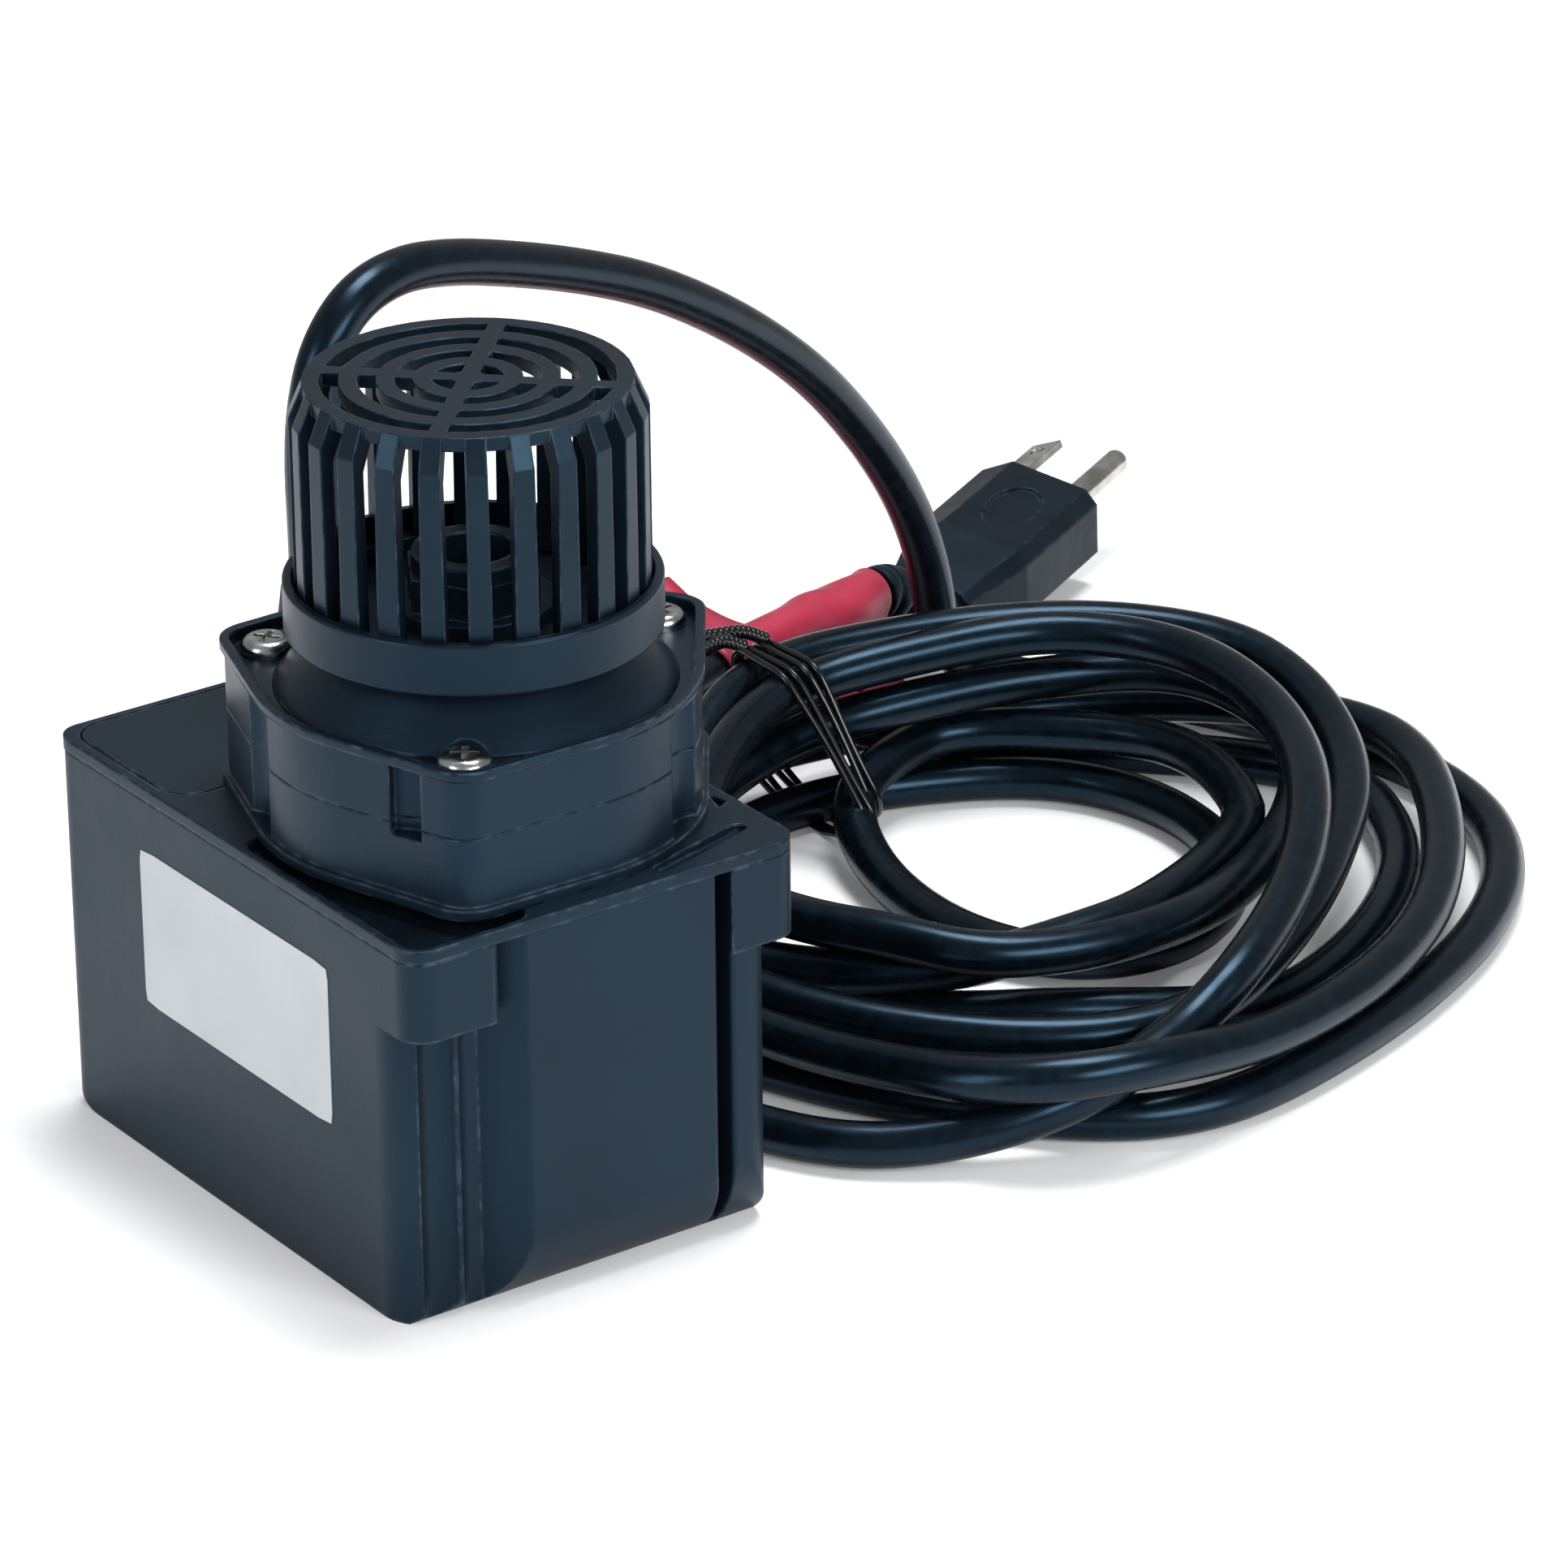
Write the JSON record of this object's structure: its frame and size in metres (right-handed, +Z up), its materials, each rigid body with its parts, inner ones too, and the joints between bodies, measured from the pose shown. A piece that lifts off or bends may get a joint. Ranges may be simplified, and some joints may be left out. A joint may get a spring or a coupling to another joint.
{
  "type": "condensate pump",
  "caption": "Submersible condensate pump with potted motor tub, magnet-driven volute pump, caged inlet strainer and a mains cord with coil and grounded plug",
  "frame": {"origin": "middle of the tub's cover outline, on the floor it stands on", "axes": "+Z up along the pump shaft; +X towards the coiled cord; -Y is the ribbed front"},
  "size_m": [0.282, 0.2433, 0.1365],
  "materials": {
    "moulded_housing": "matte black moulded plastic",
    "potting": "glossy cast resin",
    "lamination_steel": "punched steel laminations",
    "bobbin_plastic": "natural nylon",
    "winding_wire": "enamelled copper wire",
    "bush_plastic": "carbon-filled bush",
    "magnet": "bonded ferrite",
    "stainless": "stainless steel",
    "seal_rubber": "nitrile rubber",
    "cord_rubber": "glossy black flexible jacket",
    "tie_plastic": "plastic-coated wire",
    "tag_vinyl": "plain red vinyl",
    "plug_vinyl": "moulded vinyl",
    "nickel": "nickel-plated brass"
  },
  "bodies": {
    "root": {"motor_housing": "moulded_housing", "cover_plate": "moulded_housing", "rear_lid": "moulded_housing", "potting_compound": "potting", "stator_stack": "lamination_steel", "coil_bobbin": "bobbin_plastic", "coil_winding": "winding_wire", "rotor_can": "moulded_housing", "lower_bush": "bush_plastic", "upper_bush": "bush_plastic", "can_seal": "seal_rubber", "volute_base": "moulded_housing", "volute_cover": "moulded_housing", "volute_dome": "moulded_housing", "inlet_neck": "moulded_housing", "discharge_fitting": "moulded_housing", "cover_screws": "stainless", "strainer_cup": "moulded_housing", "strainer_nut": "moulded_housing", "cord_gland": "cord_rubber", "cord_lead": "cord_rubber", "cord_coil": "cord_rubber", "cord_tail": "cord_rubber", "twist_tie_near": "tie_plastic", "twist_tie_far": "tie_plastic", "cord_tag": "tag_vinyl", "plug_strain_relief": "plug_vinyl", "plug_body": "plug_vinyl", "plug_blades": "nickel", "ground_pin": "nickel"},
    "rotor": {"impeller": "moulded_housing", "rotor_shaft": "stainless", "rotor_magnet": "magnet"},
    "strainer": {"strainer_cage": "moulded_housing"}
  },
  "joints": [
    {"name": "rotor_spin", "type": "hinge", "parent": "root", "child": "rotor", "pos_m": [0.0027, -0.0125, 0.07], "axis": [0, 0, 1], "continuous": true},
    {"name": "strainer_lift", "type": "slide", "parent": "root", "child": "strainer", "axis": [0, 0, 1], "range_m": [0, 0.045]}
  ]
}
